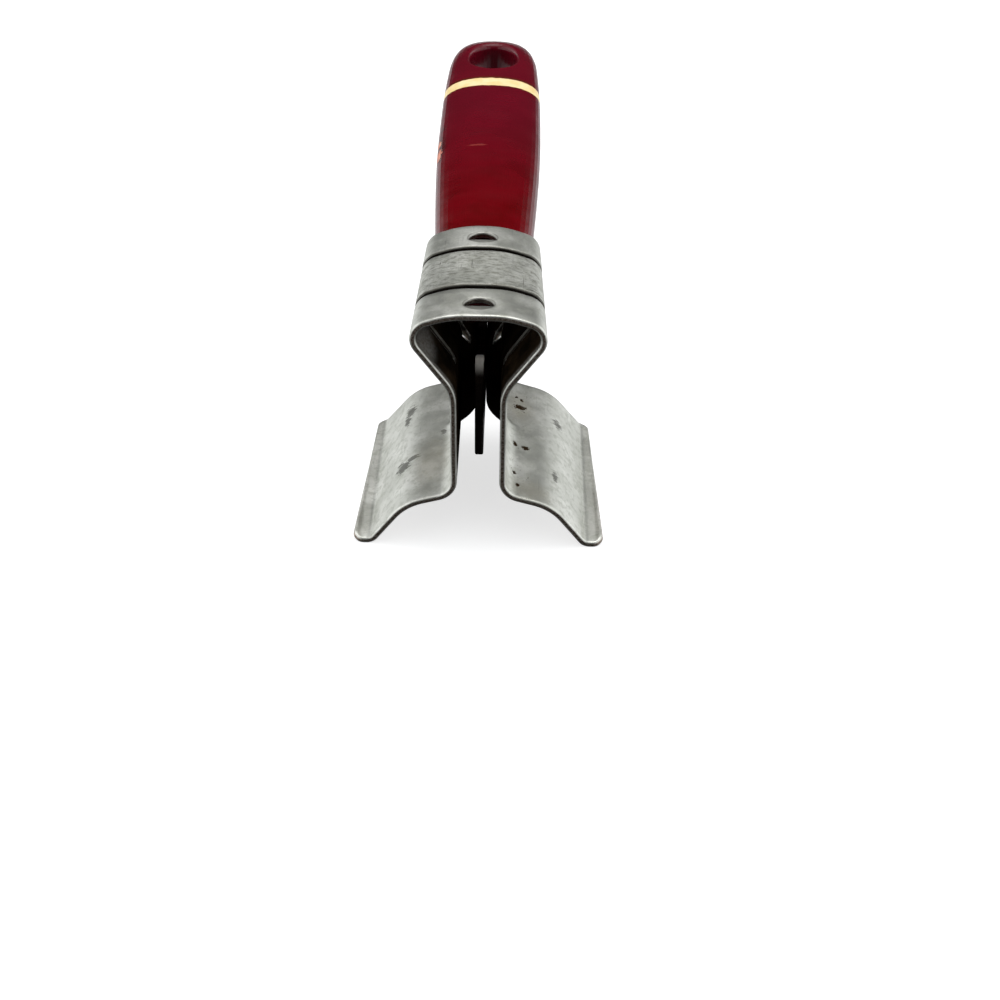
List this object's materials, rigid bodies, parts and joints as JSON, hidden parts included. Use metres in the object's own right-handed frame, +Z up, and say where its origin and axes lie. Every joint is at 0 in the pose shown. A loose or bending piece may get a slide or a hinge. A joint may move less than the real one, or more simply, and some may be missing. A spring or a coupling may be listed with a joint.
{
  "type": "apple peeler corer",
  "caption": "Hand tool with a flat painted wooden handle, a folded sheet-metal guide with two flared wings and a riveted centre blade.",
  "frame": {"origin": "bottom centre of the box around the tool, on the plane of the wings' feet", "axes": "+Y along the handle towards its butt, the working end at -Y; +X across the wings; +Z up from the wings' feet to the crown"},
  "size_m": [0.0378, 0.1108, 0.0397],
  "materials": {
    "painted_wood": "glossy deep red paint with a cream ring, worn",
    "sheet_steel": "satin, scratched, light rust spots",
    "blade_steel": "dull, darkened",
    "rivet_steel": "satin"
  },
  "bodies": {
    "root": {"handle": "painted_wood", "winged_guide": "sheet_steel", "centre_blade": "blade_steel", "rivet_front": "rivet_steel", "rivet_rear": "rivet_steel"}
  },
  "joints": []
}
